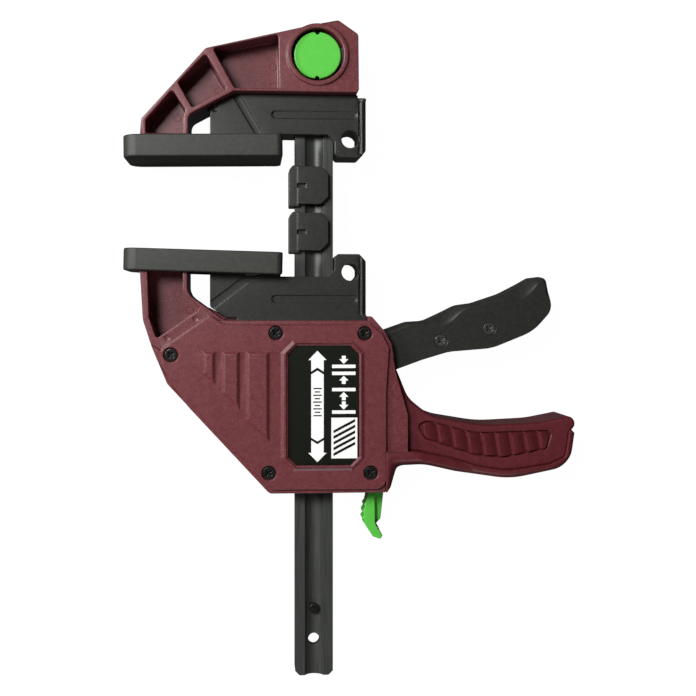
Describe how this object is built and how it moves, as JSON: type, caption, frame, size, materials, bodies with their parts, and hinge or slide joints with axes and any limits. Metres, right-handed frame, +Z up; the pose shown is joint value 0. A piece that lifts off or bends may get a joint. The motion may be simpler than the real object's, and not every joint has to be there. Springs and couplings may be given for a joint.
{
  "type": "quick release bar clamp",
  "caption": "One-handed bar clamp: fixed head with push-button lock, trigger-driven sliding jaw with release lever, padded jaws on an I-section bar.",
  "frame": {"origin": "centre of the hole in the bar's free end, at mid-thickness", "axes": "+Y along the bar towards the fixed head, +Z up from the bench through the clamp's thickness, +X from the jaw tips towards the handles"},
  "size_m": [0.2574, 0.3731, 0.0439],
  "materials": {
    "bar_steel": "black oxide steel, satin",
    "black_steel": "black oxide fasteners",
    "bright_steel": "zinc plated steel",
    "burgundy_nylon": "fine textured glass-filled nylon, burgundy",
    "black_nylon": "fine textured black nylon",
    "black_rubber": "soft black pad",
    "green_plastic": "bright green plastic, semi gloss",
    "label": "black film with a plain white scale"
  },
  "bodies": {
    "bar_and_head": {"bar_rail": "bar_steel", "bar_stop_pin": "black_steel", "head_frame": "burgundy_nylon", "head_block": "black_nylon", "head_pad": "black_rubber", "head_rear_cap": "burgundy_nylon", "head_screws": "black_steel", "button_springs": "bright_steel"},
    "button": {"release_button": "green_plastic", "latch_plate": "bright_steel", "lock_pin": "bright_steel"},
    "guard_upper": {"bar_guard_upper": "black_nylon"},
    "guard_lower": {"bar_guard_lower": "black_nylon"},
    "carriage": {"housing_front": "burgundy_nylon", "housing_rear": "burgundy_nylon", "jaw_block": "black_nylon", "jaw_pad": "black_rubber", "housing_screws": "black_steel", "label_plate": "label", "trigger_pivot_pin": "bright_steel", "trigger_bushes": "black_nylon", "drive_spring": "bright_steel", "drive_spring_washer": "bright_steel", "brake_spring": "bright_steel"},
    "trigger": {"trigger_core": "bar_steel", "trigger_cover_front": "black_nylon", "trigger_cover_rear": "black_nylon", "trigger_screws": "black_steel"},
    "drive": {"drive_plates": "bright_steel"},
    "brake": {"brake_plate": "bright_steel"},
    "release": {"release_lever": "green_plastic"}
  },
  "joints": [
    {"name": "jaw_slide", "type": "slide", "parent": "bar_and_head", "child": "carriage", "axis": [0, 1, 0], "range_m": [-0.093, 0.03]},
    {"name": "upper_guard_slide", "type": "slide", "parent": "bar_and_head", "child": "guard_upper", "axis": [0, 1, 0], "range_m": [-0.0516, 0.0168]},
    {"name": "lower_guard_slide", "type": "slide", "parent": "bar_and_head", "child": "guard_lower", "axis": [0, 1, 0], "range_m": [-0.059, 0.0192]},
    {"name": "head_lock_button", "type": "slide", "parent": "bar_and_head", "child": "button", "axis": [0, 0, -1], "range_m": [0, 0.0036], "stiffness_N_per_m": 600, "deforming": ["button_springs"]},
    {"name": "trigger_squeeze", "type": "hinge", "parent": "carriage", "child": "trigger", "pos_m": [-0.022, 0.152, 0], "axis": [0, 0, 1], "range_deg": [-18, 0], "stiffness_Nm_per_rad": 3},
    {"name": "drive_advance", "type": "slide", "parent": "carriage", "child": "drive", "axis": [0, 1, 0], "range_m": [-0.00786, 0], "deforming": ["drive_spring"]},
    {"name": "release_press", "type": "hinge", "parent": "carriage", "child": "release", "pos_m": [0.031, 0.0986, 0], "axis": [0, 0, 1], "range_deg": [0, 10], "stiffness_Nm_per_rad": 1},
    {"name": "brake_release", "type": "hinge", "parent": "carriage", "child": "brake", "pos_m": [-0.0195, 0.1005, 0], "axis": [0, 0, 1], "range_deg": [-4.71, 0], "deforming": ["brake_spring"]}
  ],
  "couplings": [
    {"joint": "upper_guard_slide", "follows": "jaw_slide", "ratio": 0.55},
    {"joint": "lower_guard_slide", "follows": "jaw_slide", "ratio": 0.63},
    {"joint": "drive_advance", "follows": "trigger_squeeze", "m_per_rad": 0.025},
    {"joint": "brake_release", "follows": "release_press", "ratio": -0.47}
  ]
}
